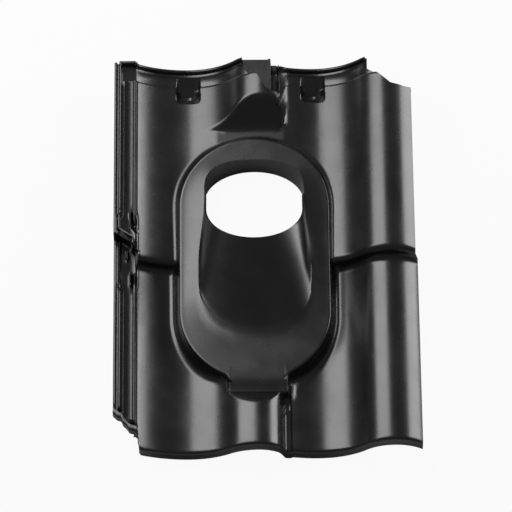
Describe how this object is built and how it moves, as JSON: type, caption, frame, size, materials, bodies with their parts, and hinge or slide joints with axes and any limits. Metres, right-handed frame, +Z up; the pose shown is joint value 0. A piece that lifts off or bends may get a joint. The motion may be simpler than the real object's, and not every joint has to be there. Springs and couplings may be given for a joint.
{
  "type": "pipe pass-through roof tile",
  "caption": "One-piece moulded plastic roof tile shaped as interlocking pantiles, with a raised oval platform and a leaning pipe stub that lets a flue or vent pipe through the roof",
  "frame": {"origin": "Middle of the tile's plan outline, on the floor that its two hanging lugs and its eave lip rest on", "axes": "+X across the tile from the side lock to the free edge of the right roll, +Y up the roof from eave to head, +Z up from the floor"},
  "size_m": [0.478, 0.672, 0.1134],
  "materials": {
    "black_plastic": "satin black with a fine moulded grain"
  },
  "bodies": {
    "root": {"pass_through_tile": "black_plastic"}
  },
  "joints": []
}
